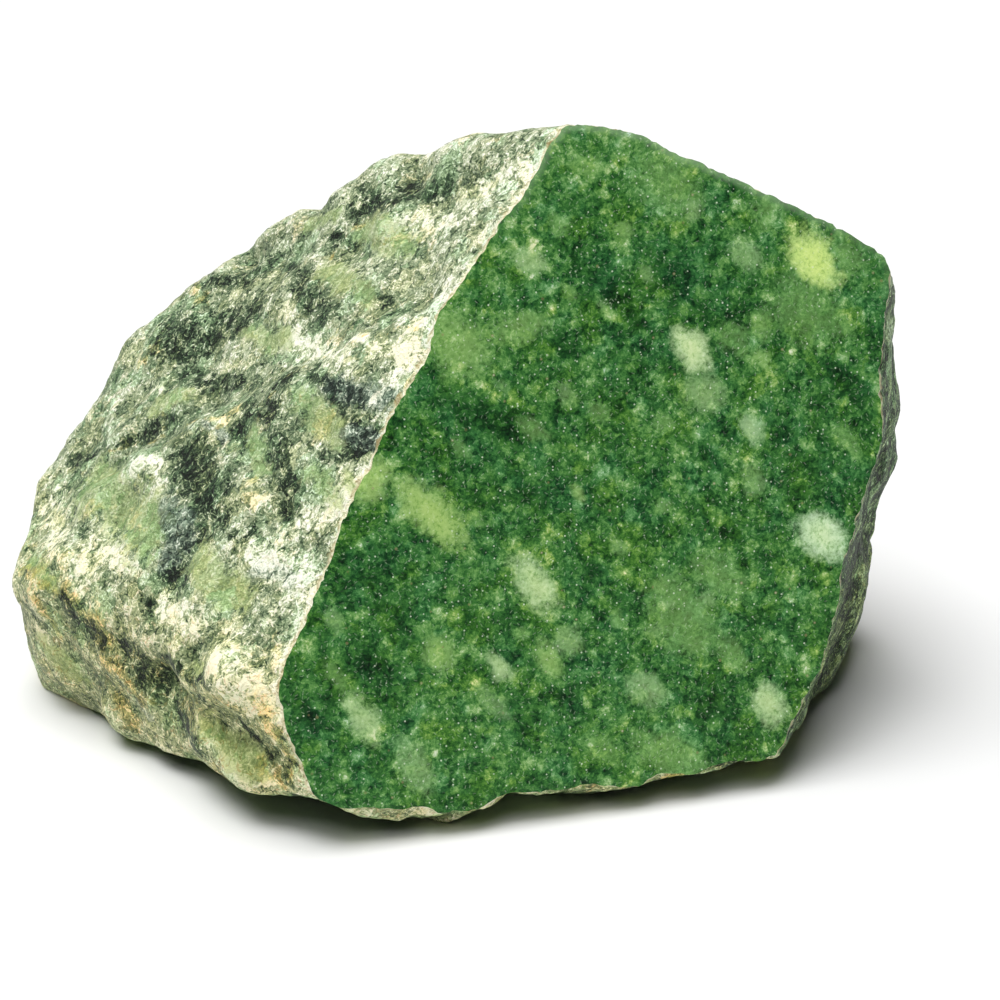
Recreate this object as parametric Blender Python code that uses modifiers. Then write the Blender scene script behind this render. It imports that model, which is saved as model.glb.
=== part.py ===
"""Raw budstone: one hand-sized piece of green serpentine rock, rough all round but for one sawn face.

Metres, +Z up, resting on the floor at z = 0, with the sawn face towards -Y and the origin under the
middle of the stone. It is made the way the stone came about: a block is broken along faces, the edges
wear round, the layers weather into ledges and hollows, and last of all a saw takes off one side.
"""

import math

import bmesh
import bpy
from mathutils import Vector, noise

MM = 0.001

# The middle of the stone, which every face is measured from.
HEART = Vector((0.0, 0.0, 27.0))
BLOCK = 160.0

# A face is (azimuth, elevation, distance from the heart in mm). Azimuth 0 looks towards -Y, 90 towards
# +X; elevation 90 looks straight up.
SAWN_FACE = (16, 17, 15.6)
FLOOR_CUT = (0, -90, 29.2)

BROKEN_FACES = {
    "cheek": (-46, 33, 16.1),
    "shoulder": (-60, 42, 14.9),
    "jowl": (-37, 4, 28.1),
    "chin": (-49, -13, 34.0),
    "left sole": (-28, -58, 37.3),
    "front sole": (8, -72, 33.5),
    "front edge": (16, -66, 34.0),
    "left underside": (-28, -68, 34.3),
    "right underside": (62, -66, 38.2),
    "left end": (-95, 0, 40.4),
    "left brow": (-116, 23, 32.2),
    "back of the shoulder": (-135, 40, 25.2),
    "crown, far left": (-149, 53, 22.4),
    "crown, left": (-170, 65, 22.6),
    "crown": (166, 63, 23.9),
    "crown, right": (149, 52, 23.7),
    "crown, far right": (142, 48, 25.8),
    "right": (77, 2, 37.8),
    "right, low": (74, -10, 37.2),
    "right foot": (65, -14, 38.0),
    "back left": (-140, 5, 31.5),
    "back": (178, 10, 25.5),
    "back right": (128, 8, 35.5),
    "back sole": (-175, -62, 31.8),
    "right sole": (140, -55, 37.5),
    "sole": (0, -90, 34.3),
}

# The skin that the weathering works on: its grain, and how far the block's edges are worn round.
GRAIN = 1.80
ROUNDING = 4

# The layers of the rock lie parallel to the cheek. They weather back unevenly, in steps.
LAYERS = (-43, 24)
LAYER_STEP = 4.4
LEDGE = 0.95

# Swells and pits of the broken rock: (size across, height), all in mm.
ROUGHNESS = ((15.0, 0.8), (7.0, 0.7), (3.9, 0.45))

# Places that stand out (+) or are hollow (-): (where, radius, height).
MARKS = {
    "scooped flat of the cheek": ((-30.4, -4.5, 18.1), 5.5, -0.9),
    "cream lump": ((-18.6, -22.5, 11.8), 3.6, 1.3),
    "patch beside the lump": ((-21.5, -15.0, 17.2), 4.0, 0.7),
    "nick left of the lump": ((-22.5, -19.5, 11.5), 2.6, -1.0),
    "hollow of the chin": ((-25.0, -17.0, 5.5), 4.5, -1.3),
    "knuckle of the chin": ((-36.3, -2.4, 4.1), 5.0, 1.1),
    "heel": ((-29.8, -8.6, 1.6), 3.5, 1.0),
    "toe": ((-18.0, -23.2, 3.0), 3.8, 0.9),
    "notch of the skyline, left": ((-19.9, 12.8, 37.2), 2.8, -1.4),
    "notch of the skyline, right": ((-13.1, 11.2, 42.9), 2.6, -1.2),
    "shelf under the crown": ((-5.5, 1.0, 44.0), 4.0, 0.7),
    "hollow over the shelf": ((-3.0, 3.5, 47.6), 3.4, -0.8),
    "trough of the shoulder": ((-23.3, 5.5, 29.6), 4.5, -0.8),
    "hollow of the back": ((6.0, 27.0, 26.0), 9.0, -2.0),
    "ledge of the back": ((-16.0, 26.0, 30.0), 7.0, 1.6),
    "hip": ((26.0, 22.0, 34.0), 8.0, 1.4),
    "dent on the right": ((37.5, 4.0, 14.0), 4.5, -1.0),
    "front lip": ((-1.5, -24.5, 0.0), 7.0, 0.9),
    "front lip, left": ((-8.0, -25.0, 0.6), 5.0, 0.8),
    "front lip, right": ((8.5, -21.5, 0.5), 6.0, 0.5),
}

# Cracks and steps that run along the rock: (from, to, half width, height).
CREASES = {
    "crease over the cheek, left": ((-33.0, 1.2, 20.5), (-23.0, -1.0, 28.0), 1.8, -0.9),
    "lip of the cheek, left": ((-33.3, -0.6, 19.0), (-22.7, -3.9, 27.2), 1.7, 0.7),
    "lip of the cheek, right": ((-22.7, -3.9, 27.2), (-1.8, -13.1, 40.5), 1.7, 0.6),
    "step by the sawn edge": ((-4.1, -11.0, 40.2), (-0.5, -13.1, 42.0), 1.4, 0.6),
    "crack under the cheek, left": ((-36.0, -6.5, 11.0), (-26.0, -16.5, 8.2), 1.9, -1.0),
    "crack under the cheek, right": ((-26.0, -16.5, 8.2), (-15.5, -26.6, 4.8), 1.8, -1.0),
    "crack of the back": ((-28.0, 20.0, 12.0), (8.0, 30.0, 18.0), 1.8, -1.3),
}

SEED = Vector((18.2, 56.9, 24.9))
STONE_GREEN = (0.13, 0.21, 0.10, 1.0)
STONE_ROUGHNESS = 0.55


def facing(azimuth, elevation):
    """The unit vector of a face that looks that way."""
    turn, lift = math.radians(azimuth), math.radians(elevation)
    return Vector((math.sin(turn) * math.cos(lift), -math.cos(turn) * math.cos(lift), math.sin(lift)))


def cut_off(shape, face):
    """Takes away what lies beyond a face and closes the cut flat."""
    azimuth, elevation, distance = face
    outward = facing(azimuth, elevation)
    cut = bmesh.ops.bisect_plane(
        shape,
        geom=shape.verts[:] + shape.edges[:] + shape.faces[:],
        dist=1e-4,
        plane_co=HEART + outward * distance,
        plane_no=outward,
        clear_outer=True,
    )
    rim = [item for item in cut["geom_cut"] if isinstance(item, bmesh.types.BMEdge)]
    bmesh.ops.edgeloop_fill(shape, edges=rim)


def broken_block():
    """The block with every broken face struck off it."""
    shape = bmesh.new()
    bmesh.ops.create_cube(shape, size=BLOCK)
    for face in BROKEN_FACES.values():
        cut_off(shape, face)
    return shape


def skin_of(shape):
    """The block as one even skin of small faces, with its edges worn round."""
    mesh = bpy.data.meshes.new("block")
    shape.to_mesh(mesh)
    shape.free()
    block = bpy.data.objects.new("block", mesh)
    bpy.context.scene.collection.objects.link(block)
    skin = block.modifiers.new("skin", "REMESH")
    skin.mode = "VOXEL"
    skin.voxel_size = GRAIN
    rounding = block.modifiers.new("rounding", "SMOOTH")
    rounding.factor = 0.5
    rounding.iterations = ROUNDING
    bpy.context.view_layer.update()
    graph = bpy.context.evaluated_depsgraph_get()
    shape = bmesh.new()
    shape.from_mesh(block.evaluated_get(graph).to_mesh())
    bpy.data.objects.remove(block)
    shape.normal_update()
    return shape


def falloff(distance, radius):
    """1 in the middle and 0 from the radius outwards, with no corner in between."""
    near = max(0.0, 1.0 - (distance / radius) ** 2)
    return near * near


def ledges(place):
    """The uneven steps of the layers: each one rises slowly and ends in a sharp lip."""
    wander = 0.45 * noise.noise(place / 17.0 + SEED) + 0.12 * noise.noise(place / 6.0 - SEED)
    along = place.dot(facing(*LAYERS)) / LAYER_STEP + 2.2 * wander
    layer, part = divmod(along, 1.0)
    height = noise.noise(Vector((layer * 3.7, place.x / 21.0, place.z / 23.0)) + SEED)
    following = noise.noise(Vector(((layer + 1) * 3.7, place.x / 21.0, place.z / 23.0)) + SEED)
    lip = min(1.0, max(0.0, (part - 0.62) / 0.38))
    return height + (following - height) * lip * lip * (3 - 2 * lip)


def weathered(place):
    """How far the surface stands out or in at a place."""
    height = LEDGE * ledges(place)
    for size, swell in ROUGHNESS:
        height += swell * noise.noise(place / size + SEED)
    for where, radius, rise in MARKS.values():
        height += rise * falloff((place - Vector(where)).length, radius)
    for start, end, width, rise in CREASES.values():
        start, end = Vector(start), Vector(end)
        run = end - start
        share = min(1.0, max(0.0, (place - start).dot(run) / run.length_squared))
        wobble = Vector((0, 0, 0.9 * noise.noise(place / 4.0 - SEED)))
        nearest = start + run * share + wobble
        height += rise * falloff((place - nearest).length, 2.0 * width)
    return height


def budstone():
    shape = skin_of(broken_block())
    heights = [weathered(corner.co) for corner in shape.verts]
    for corner, height in zip(shape.verts, heights):
        corner.co += corner.normal * height
    cut_off(shape, SAWN_FACE)
    cut_off(shape, FLOOR_CUT)
    across = [corner.co.x for corner in shape.verts]
    deep = [corner.co.y for corner in shape.verts]
    floor = HEART.z - FLOOR_CUT[2]
    middle = Vector((min(across) + max(across), min(deep) + max(deep), 2 * floor)) / 2
    for corner in shape.verts:
        corner.co = (corner.co - middle) * MM
    mesh = bpy.data.meshes.new("stone")
    shape.to_mesh(mesh)
    shape.free()
    return mesh


def stone_material():
    material = bpy.data.materials.new("budstone")
    material.use_nodes = True
    surface = material.node_tree.nodes["Principled BSDF"]
    surface.inputs["Base Color"].default_value = STONE_GREEN
    surface.inputs["Roughness"].default_value = STONE_ROUGHNESS
    material.diffuse_color = STONE_GREEN
    return material


def main():
    for item in list(bpy.data.objects):
        bpy.data.objects.remove(item)
    stone = bpy.data.objects.new("stone", budstone())
    stone.data.materials.append(stone_material())
    bpy.context.scene.collection.objects.link(stone)


main()
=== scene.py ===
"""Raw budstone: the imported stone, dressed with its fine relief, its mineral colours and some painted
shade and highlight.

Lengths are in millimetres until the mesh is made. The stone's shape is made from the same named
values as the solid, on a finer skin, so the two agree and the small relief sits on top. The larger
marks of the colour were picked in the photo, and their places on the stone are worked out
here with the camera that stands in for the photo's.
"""

import math

import bmesh
import bpy
import numpy as np
from mathutils import Matrix, Vector, geometry, noise


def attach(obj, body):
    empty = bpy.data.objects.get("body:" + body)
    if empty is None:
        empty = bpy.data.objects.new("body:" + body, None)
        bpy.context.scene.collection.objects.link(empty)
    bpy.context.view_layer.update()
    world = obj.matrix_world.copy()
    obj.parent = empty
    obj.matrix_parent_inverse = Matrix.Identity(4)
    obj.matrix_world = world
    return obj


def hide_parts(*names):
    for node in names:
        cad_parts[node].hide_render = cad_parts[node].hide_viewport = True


MM = 0.001
BLOCK = 160.0
HEART = Vector((0.0, 0.0, 27.0))

# A face is (azimuth, elevation, distance from the heart). Azimuth 0 looks towards -Y, 90 towards +X.
SAWN_FACE = (16, 17, 15.6)
FLOOR_CUT = (0, -90, 29.2)
# The middle of the solid's box, on the floor: the frame's origin.
MIDDLE = Vector((-0.1462, 1.1544, HEART.z - FLOOR_CUT[2]))
BROKEN_FACES = {
    "cheek": (-46, 33, 16.1),
    "shoulder": (-60, 42, 14.9),
    "jowl": (-37, 4, 28.1),
    "chin": (-49, -13, 34.0),
    "left sole": (-28, -58, 37.3),
    "front sole": (8, -72, 33.5),
    "front edge": (16, -66, 34.0),
    "left underside": (-28, -68, 34.3),
    "right underside": (62, -66, 38.2),
    "left end": (-95, 0, 40.4),
    "left brow": (-116, 23, 32.2),
    "back of the shoulder": (-135, 40, 25.2),
    "crown, far left": (-149, 53, 22.4),
    "crown, left": (-170, 65, 22.6),
    "crown": (166, 63, 23.9),
    "crown, right": (149, 52, 23.7),
    "crown, far right": (142, 48, 25.8),
    "right": (77, 2, 37.8),
    "right, low": (74, -10, 37.2),
    "right foot": (65, -14, 38.0),
    "back left": (-140, 5, 31.5),
    "back": (178, 10, 25.5),
    "back right": (128, 8, 35.5),
    "back sole": (-175, -62, 31.8),
    "right sole": (140, -55, 37.5),
    "sole": (0, -90, 34.3),
    "saw's waste": (16, 17, 20.0),
}
# The spacing of the skin's points, and the rounds of smoothing that wear its edges.
GRAIN = 0.42
ROUNDING = 64
# The layers of the rock: the direction across them, the height of one, and how far its lip stands out.
LAYERS = (-43, 24)
LAYER_STEP = 4.4
LEDGE = 0.95
# The share of a layer at which its lip begins.
LIP_START = 0.62
ROUGHNESS = ((15.0, 0.8), (7.0, 0.7), (3.9, 0.45))
# Hollows and bumps: (middle, radius, rise).
MARKS = {
    "scooped flat of the cheek": ((-30.4, -4.5, 18.1), 5.5, -0.9),
    "cream lump": ((-18.6, -22.5, 11.8), 3.6, 1.3),
    "patch beside the lump": ((-21.5, -15.0, 17.2), 4.0, 0.7),
    "nick left of the lump": ((-22.5, -19.5, 11.5), 2.6, -1.0),
    "hollow of the chin": ((-25.0, -17.0, 5.5), 4.5, -1.3),
    "knuckle of the chin": ((-36.3, -2.4, 4.1), 5.0, 1.1),
    "heel": ((-29.8, -8.6, 1.6), 3.5, 1.0),
    "toe": ((-18.0, -23.2, 3.0), 3.8, 0.9),
    "notch of the skyline, left": ((-19.9, 12.8, 37.2), 2.8, -1.4),
    "notch of the skyline, right": ((-13.1, 11.2, 42.9), 2.6, -1.2),
    "shelf under the crown": ((-5.5, 1.0, 44.0), 4.0, 0.7),
    "hollow over the shelf": ((-3.0, 3.5, 47.6), 3.4, -0.8),
    "trough of the shoulder": ((-23.3, 5.5, 29.6), 4.5, -0.8),
    "hollow of the back": ((6.0, 27.0, 26.0), 9.0, -2.0),
    "ledge of the back": ((-16.0, 26.0, 30.0), 7.0, 1.6),
    "hip": ((26.0, 22.0, 34.0), 8.0, 1.4),
    "dent on the right": ((37.5, 4.0, 14.0), 4.5, -1.0),
    "front lip": ((-1.5, -24.5, 0.0), 7.0, 0.9),
    "front lip, left": ((-8.0, -25.0, 0.6), 5.0, 0.8),
    "front lip, right": ((8.5, -21.5, 0.5), 6.0, 0.5),
}
# Creases and their lips: (from, to, width, rise).
CREASES = {
    "crease over the cheek, left": ((-33.0, 1.2, 20.5), (-23.0, -1.0, 28.0), 1.8, -0.9),
    "lip of the cheek, left": ((-33.3, -0.6, 19.0), (-22.7, -3.9, 27.2), 1.7, 0.7),
    "lip of the cheek, right": ((-22.7, -3.9, 27.2), (-1.8, -13.1, 40.5), 1.7, 0.6),
    "step by the sawn edge": ((-4.1, -11.0, 40.2), (-0.5, -13.1, 42.0), 1.4, 0.6),
    "crack under the cheek, left": ((-36.0, -6.5, 11.0), (-26.0, -16.5, 8.2), 1.9, -1.0),
    "crack under the cheek, right": ((-26.0, -16.5, 8.2), (-15.5, -26.6, 4.8), 1.8, -1.0),
    "crack of the back": ((-28.0, 20.0, 12.0), (8.0, 30.0, 18.0), 1.8, -1.3),
}
SEED = np.array((18.2, 56.9, 24.9))
# The fine relief is cut into the solid's skin more than it stands out of it.
SINK = 0.2
# How far from the sawn rim the skin is bruised, and how wide the painted shade in a crack is.
RIM_WIDTH = 3.6
CRACK_WIDTH = 0.7
# The small triangles of the sawn face, and the larger ones of the flat underside.
SAWN_SPACING = 0.5
FLOOR_SPACING = 3.0
# An edge that turns by more than this, in radians, may be a sharp one.
SHARP_TURN = 0.9
# The direction in which the grain of the rock runs.
GRAIN_RUN = (0.67, 0.10, 0.735)
# The rounds of smoothing that tell small hollows, and larger ones, for painted shade in hollows and
# painted highlight on ridges.
SMALL_HOLLOWS = 4
LARGE_HOLLOWS = 14
# The azimuth and elevation of the right side, which is painted a darker green as shade, and of the side
# that the photo shows.
SHADED_FLANK = (77, 0)
SEEN_SIDE = (-20, 30)
# Streaks on the sides that the photo doesn't show: (size, least level, seed).
STREAKS = {
    "dark_mineral_and_shade": (9.0, 0.10, 5.0),
    "cream": (7.0, 0.12, 25.0),
    "olive": (6.0, 0.16, 42.0),
    "tan": (8.0, 0.30, 63.0),
    "blue": (8.0, 0.26, 84.0),
}

# The camera that stands in for the photo's, as it was fitted to the stone's outline.
AIM = Vector((3.8, 0.0, 18.0))
CAMERA_RISE = 24
CAMERA_DISTANCE = 300.0
LENS = 120.0
SENSOR = 36.0
PHOTO_WIDTH = 1000
# Broad far lights: (azimuth and elevation it comes from, its angle, its strength).
LIGHTS = {"key": ((-84, 79), 48, 3.25), "fill": ((-24, 62), 36, 1.05)}
# The world's light: (strength at the horizon, gain overhead, heights between which it gains).
SKY = (0.03, 0.56, 0.10, 0.72)
# In metres: the nearest that the camera sees, and how far the paper floor reaches to each side.
NEAREST = 0.01
PAPER_REACH = 4.0
PAPER_WHITE = (0.8, 0.8, 0.8, 1.0)

# Colours by tone, for each ground: (tone from 0 to 1, colour from 0 to 255 as a screen shows it).
SKIN_TONES = (
    (0.0, (12, 22, 12)),
    (0.2, (44, 62, 42)),
    (0.4, (94, 114, 82)),
    (0.6, (148, 162, 126)),
    (0.8, (206, 214, 178)),
    (1.0, (255, 254, 240)),
)
PALE_GREEN_TONES = ((0.22, (122, 142, 92)), (0.5, (162, 178, 126)), (0.8, (216, 224, 182)))
SLATE_TONES = (
    (0.1, (32, 44, 38)),
    (0.4, (92, 109, 98)),
    (0.7, (162, 177, 162)),
    (1.0, (240, 246, 232)),
)
EDGING_TONES = ((0.28, (154, 136, 88)), (0.45, (218, 210, 166)), (0.65, (246, 243, 216)))
SAWN_TONES = (
    (0.0, (6, 34, 14)),
    (0.2, (28, 76, 32)),
    (0.42, (62, 120, 54)),
    (0.62, (108, 160, 84)),
    (0.8, (166, 202, 134)),
    (1.0, (240, 248, 222)),
)
SPOT_TONES = ((0.15, (176, 204, 156)), (0.45, (238, 246, 228)), (0.8, (255, 255, 255)))
# Colours that the ground is multiplied by, or covered with, as the shader counts them.
SKIN_TINTS = {
    "warm": (1.05, 1.01, 0.82),
    "cool": (0.80, 0.99, 0.86),
    "olive": (0.94, 1.05, 0.74),
    "cream": (1.0, 1.0, 0.90),
    "stain": (1.06, 0.98, 0.72),
    "tan": (1.18, 0.92, 0.60),
    "seam": (0.66, 0.46, 0.24),
    # The darker green of the painted shade on the right side and the underside.
    "deep": (0.70, 0.98, 0.68),
}
SAWN_TINTS = {"warm": (1.20, 1.05, 0.66), "cool": (0.82, 0.97, 1.30), "core": (1.24, 1.14, 1.10)}
# The pale green of the specks, in which the glint of mica is painted, and of the fine fibres.
FLECK_GREEN = (0.74, 0.88, 0.64)
SPECK_BROWN = (0.30, 0.26, 0.12)
# The pale green of the painted highlight along the upper rim of the sawn face.
RIM_HIGHLIGHT_GREEN = (0.40, 0.58, 0.33)

# Streaks and patches of the rough skin, picked in the photo. Each is (from x, from y, to x,
# to y, width) in the photo's pixels, which count from its upper left corner.
PATCHES = {
    # Blackish green mineral, and in some of these streaks painted shade in creases and recesses.
    "dark_mineral_and_shade": (
        (212, 280, 265, 268, 18), (165, 332, 243, 320, 34), (182, 345, 215, 330, 30),
        (178, 378, 235, 382, 20), (150, 425, 170, 420, 16), (302, 282, 325, 318, 24),
        (292, 262, 305, 300, 12), (335, 232, 357, 240, 14), (362, 202, 445, 186, 26),
        (275, 385, 280, 480, 15), (315, 368, 357, 400, 18), (322, 452, 360, 450, 12),
        (183, 455, 212, 500, 40), (240, 412, 270, 415, 10), (365, 287, 390, 300, 10),
        (163, 525, 187, 575, 24), (205, 500, 240, 545, 16), (125, 650, 158, 684, 28),
        (178, 712, 196, 750, 17), (168, 662, 213, 687, 10), (235, 720, 300, 790, 7),
        (138, 598, 146, 612, 9), (213, 634, 217, 644, 7), (70, 462, 150, 432, 10),
        (282, 492, 290, 530, 14), (330, 405, 372, 440, 20), (60, 600, 100, 640, 14),
        (233, 427, 253, 447, 13), (253, 527, 233, 550, 13), (287, 380, 263, 413, 16),
        (280, 453, 297, 487, 13), (207, 533, 165, 575, 18), (200, 700, 225, 735, 10),
    ),
    "cream": (
        (215, 650, 258, 698, 36), (245, 548, 300, 585, 32), (292, 532, 345, 492, 26),
        (353, 487, 377, 465, 14), (48, 505, 85, 585, 24), (90, 535, 128, 565, 24),
        (135, 466, 165, 462, 14), (162, 603, 198, 625, 22), (255, 500, 266, 508, 10),
        (292, 342, 343, 360, 22), (402, 225, 462, 206, 30), (437, 295, 455, 312, 12),
        (398, 372, 420, 325, 22), (222, 415, 243, 410, 11), (192, 418, 212, 410, 5),
        (348, 196, 362, 202, 10), (152, 358, 165, 350, 8), (472, 192, 517, 168, 22),
        (300, 620, 285, 655, 16), (265, 600, 290, 615, 14), (350, 340, 400, 350, 14),
        (372, 400, 392, 385, 10), (28, 612, 45, 640, 10), (210, 740, 245, 775, 14),
    ),
    "olive": (
        (95, 480, 150, 530, 42), (197, 562, 236, 595, 28), (328, 270, 360, 293, 24),
        (155, 405, 185, 395, 14), (312, 478, 335, 498, 18), (310, 224, 335, 214, 14),
        (30, 562, 52, 586, 14), (212, 730, 250, 765, 26), (345, 470, 365, 500, 14),
        (370, 225, 400, 245, 26), (250, 330, 285, 345, 16), (300, 400, 335, 430, 22),
        (250, 430, 262, 470, 18), (180, 655, 200, 668, 10), (40, 640, 80, 680, 16),
    ),
    "tan": (
        (120, 705, 132, 722, 14), (191, 289, 204, 300, 11), (236, 268, 250, 271, 6),
        (354, 222, 362, 223, 6), (110, 450, 175, 430, 5), (205, 432, 232, 412, 7),
        (35, 600, 60, 640, 11), (100, 660, 150, 700, 9), (175, 432, 235, 408, 7),
        (270, 396, 300, 368, 5), (300, 366, 432, 318, 4), (262, 700, 292, 775, 14),
        (405, 385, 413, 372, 6), (70, 595, 108, 645, 22), (25, 570, 70, 600, 10),
        (140, 360, 158, 345, 12), (105, 655, 140, 700, 12), (190, 690, 215, 735, 8),
        (255, 760, 285, 785, 10), (300, 640, 285, 690, 8), (330, 250, 345, 262, 6),
    ),
    "blue": (
        (165, 505, 180, 545, 20), (262, 570, 290, 585, 14), (330, 385, 385, 400, 22),
        (390, 440, 375, 462, 16), (177, 517, 170, 555, 22), (350, 430, 375, 450, 16),
        (255, 570, 290, 575, 16), (135, 700, 150, 720, 8), (205, 420, 225, 440, 10),
        (285, 655, 296, 665, 5),
    ),
}
# How far a spot or a cloud reaches: (times the picked width, half breadths past the picked ends).
SPOT_REACH = (1.32, 0.3)
CLOUD_REACH = (1.0, 0.35)
TINTS = {
    "dim": (0.24, 0.52, 0.18),
    "lime": (0.40, 0.60, 0.20),
    "pale": (0.63, 0.81, 0.46),
    "yellow": (0.66, 0.86, 0.30),
    "white": (0.66, 0.86, 0.58),
}
# Spots of the sawn face, picked in the same way: (from x, from y, to x, to y, width, strength, tint).
SPOTS = (
    (404, 487, 458, 538, 28, 1.00, "lime"), (520, 562, 550, 605, 23, 0.88, "pale"),
    (541, 644, 558, 675, 17, 0.70, "lime"), (514, 629, 529, 637, 8, 0.40, "lime"),
    (491, 659, 510, 676, 13, 0.75, "pale"), (433, 642, 446, 668, 22, 0.60, "lime"),
    (561, 632, 576, 649, 22, 0.45, "pale"), (662, 588, 703, 642, 44, 0.42, "lime"),
    (571, 489, 584, 499, 10, 0.50, "yellow"), (658, 503, 669, 511, 10, 0.40, "lime"),
    (473, 512, 481, 526, 9, 0.35, "lime"), (561, 387, 574, 403, 14, 0.35, "pale"),
    (591, 402, 604, 419, 14, 0.35, "lime"), (613, 614, 619, 629, 12, 0.40, "lime"),
    (496, 381, 506, 389, 10, 0.30, "pale"), (666, 600, 674, 606, 8, 0.50, "pale"),
    (691, 382, 716, 404, 26, 0.50, "pale"), (656, 420, 669, 429, 14, 0.40, "lime"),
    (521, 422, 544, 436, 16, 0.40, "lime"), (800, 240, 828, 282, 33, 1.00, "yellow"),
    (784, 290, 828, 332, 44, 0.35, "lime"), (681, 335, 700, 365, 24, 1.00, "pale"),
    (695, 384, 707, 396, 14, 0.50, "pale"), (735, 243, 755, 264, 19, 0.45, "pale"),
    (685, 203, 700, 218, 12, 0.45, "pale"), (666, 180, 688, 189, 18, 0.40, "lime"),
    (761, 200, 772, 222, 22, 0.40, "lime"), (755, 350, 767, 366, 14, 0.60, "lime"),
    (755, 316, 767, 333, 16, 0.45, "lime"), (724, 333, 747, 349, 22, 0.35, "lime"),
    (745, 419, 758, 437, 16, 0.60, "white"), (835, 245, 860, 268, 22, 0.35, "lime"),
    (645, 165, 690, 205, 42, 0.35, "lime"), (804, 524, 840, 549, 26, 1.00, "white"),
    (353, 702, 373, 738, 21, 0.74, "pale"), (759, 692, 781, 720, 24, 0.84, "pale"),
    (436, 324, 477, 362, 42, 0.60, "lime"), (496, 334, 544, 321, 22, 0.50, "lime"),
    (516, 247, 541, 270, 18, 0.60, "pale"), (614, 227, 632, 235, 12, 0.50, "lime"),
    (633, 682, 660, 699, 22, 0.50, "pale"), (402, 747, 428, 788, 24, 0.45, "pale"),
    (360, 490, 383, 467, 30, 0.65, "yellow"), (575, 160, 600, 175, 16, 0.40, "lime"),
    (640, 742, 700, 768, 30, 0.45, "lime"), (327, 610, 340, 628, 14, 0.35, "pale"),
    (700, 560, 740, 590, 26, 0.40, "lime"), (480, 690, 505, 715, 16, 0.35, "pale"),
    (820, 310, 850, 330, 18, 0.30, "lime"), (745, 470, 765, 490, 16, 0.35, "pale"),
    (600, 300, 612, 318, 10, 0.35, "pale"), (550, 215, 565, 232, 12, 0.35, "lime"),
    (590, 740, 620, 760, 16, 0.35, "lime"), (330, 665, 345, 690, 12, 0.35, "lime"),
    (840, 430, 858, 455, 14, 0.35, "lime"), (560, 285, 575, 300, 10, 0.40, "lime"),
    (654, 578, 670, 594, 16, 0.50, "lime"), (688, 631, 705, 648, 17, 0.45, "lime"),
    (700, 595, 713, 603, 12, 0.45, "pale"), (649, 628, 663, 638, 12, 0.40, "pale"),
    (640, 270, 652, 280, 9, 0.35, "pale"), (720, 640, 745, 668, 18, 0.40, "lime"),
    (455, 440, 470, 455, 10, 0.35, "lime"), (610, 540, 625, 552, 10, 0.35, "pale"),
)
# Darker clouds of the sawn face: (from x, from y, to x, to y, width).
CLOUDS = (
    (650, 262, 700, 308, 42), (445, 402, 555, 438, 34), (822, 365, 868, 400, 34),
    (702, 522, 738, 540, 20), (600, 280, 640, 325, 26), (590, 565, 600, 575, 16),
    (455, 600, 475, 620, 20), (605, 590, 620, 600, 12), (520, 485, 540, 505, 20),
    (500, 705, 540, 730, 18), (760, 405, 800, 455, 26), (545, 330, 580, 360, 20),
    (690, 440, 720, 470, 20), (300, 700, 320, 740, 18), (380, 600, 420, 640, 28),
    (357, 652, 395, 683, 30), (321, 670, 330, 703, 23), (735, 150, 745, 180, 12),
    (790, 610, 800, 650, 18), (560, 700, 590, 720, 18), (700, 700, 730, 720, 18),
)


def facing(azimuth, elevation):
    """The direction of length 1 with this azimuth and elevation, in degrees."""
    turn, lift = math.radians(azimuth), math.radians(elevation)
    return Vector((math.sin(turn) * math.cos(lift), -math.cos(turn) * math.cos(lift), math.sin(lift)))


# The sawn face has its own flat axes, from its foot, which is its nearest place to the heart.
OUTWARD = facing(*SAWN_FACE[:2])
FOOT = HEART + OUTWARD * SAWN_FACE[2]
ACROSS = Vector((-OUTWARD.y, OUTWARD.x, 0.0)).normalized()
UP = OUTWARD.cross(ACROSS)

RIGHT = Vector((1.0, 0.0, 0.0))
BACK = facing(0, CAMERA_RISE)
EYE = AIM + BACK * CAMERA_DISTANCE
# How many of the photo's pixels a thing spans that is as wide as its distance.
FOCAL = PHOTO_WIDTH * LENS / SENSOR


def sight(pixel):
    """The direction from the camera through a pixel, as long as makes one millimetre of depth."""
    x, y = (part - PHOTO_WIDTH / 2 for part in pixel)
    return (RIGHT * x - BACK.cross(RIGHT) * y) / FOCAL - BACK


def on_stone(pixel, solid):
    """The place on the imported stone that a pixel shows."""
    _, place, _, _ = solid.ray_cast((EYE - MIDDLE) * MM, sight(pixel).normalized())
    return place / MM + MIDDLE


def on_sawn_face(pixel):
    """The place on the sawn face that a pixel shows."""
    return EYE + sight(pixel) * ((FOOT - EYE).dot(OUTWARD) / sight(pixel).dot(OUTWARD))


def half_width(pixels, place):
    """Half of a width in pixels, as millimetres at this place."""
    return pixels / 2 * (EYE - place).dot(BACK) / FOCAL


def cut_off(shape, face):
    """Takes away what lies beyond a face, and closes the cut flat."""
    azimuth, elevation, distance = face
    outward = facing(azimuth, elevation)
    cut = bmesh.ops.bisect_plane(
        shape,
        geom=shape.verts[:] + shape.edges[:] + shape.faces[:],
        dist=1e-4,
        plane_co=HEART + outward * distance,
        plane_no=outward,
        clear_outer=True,
    )
    rim = [item for item in cut["geom_cut"] if isinstance(item, bmesh.types.BMEdge)]
    bmesh.ops.edgeloop_fill(shape, edges=rim)


def placed(name, data):
    """A new object for a mesh, a light or a camera, in the scene."""
    item = bpy.data.objects.new(name, data)
    bpy.context.scene.collection.objects.link(item)
    return item


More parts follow.
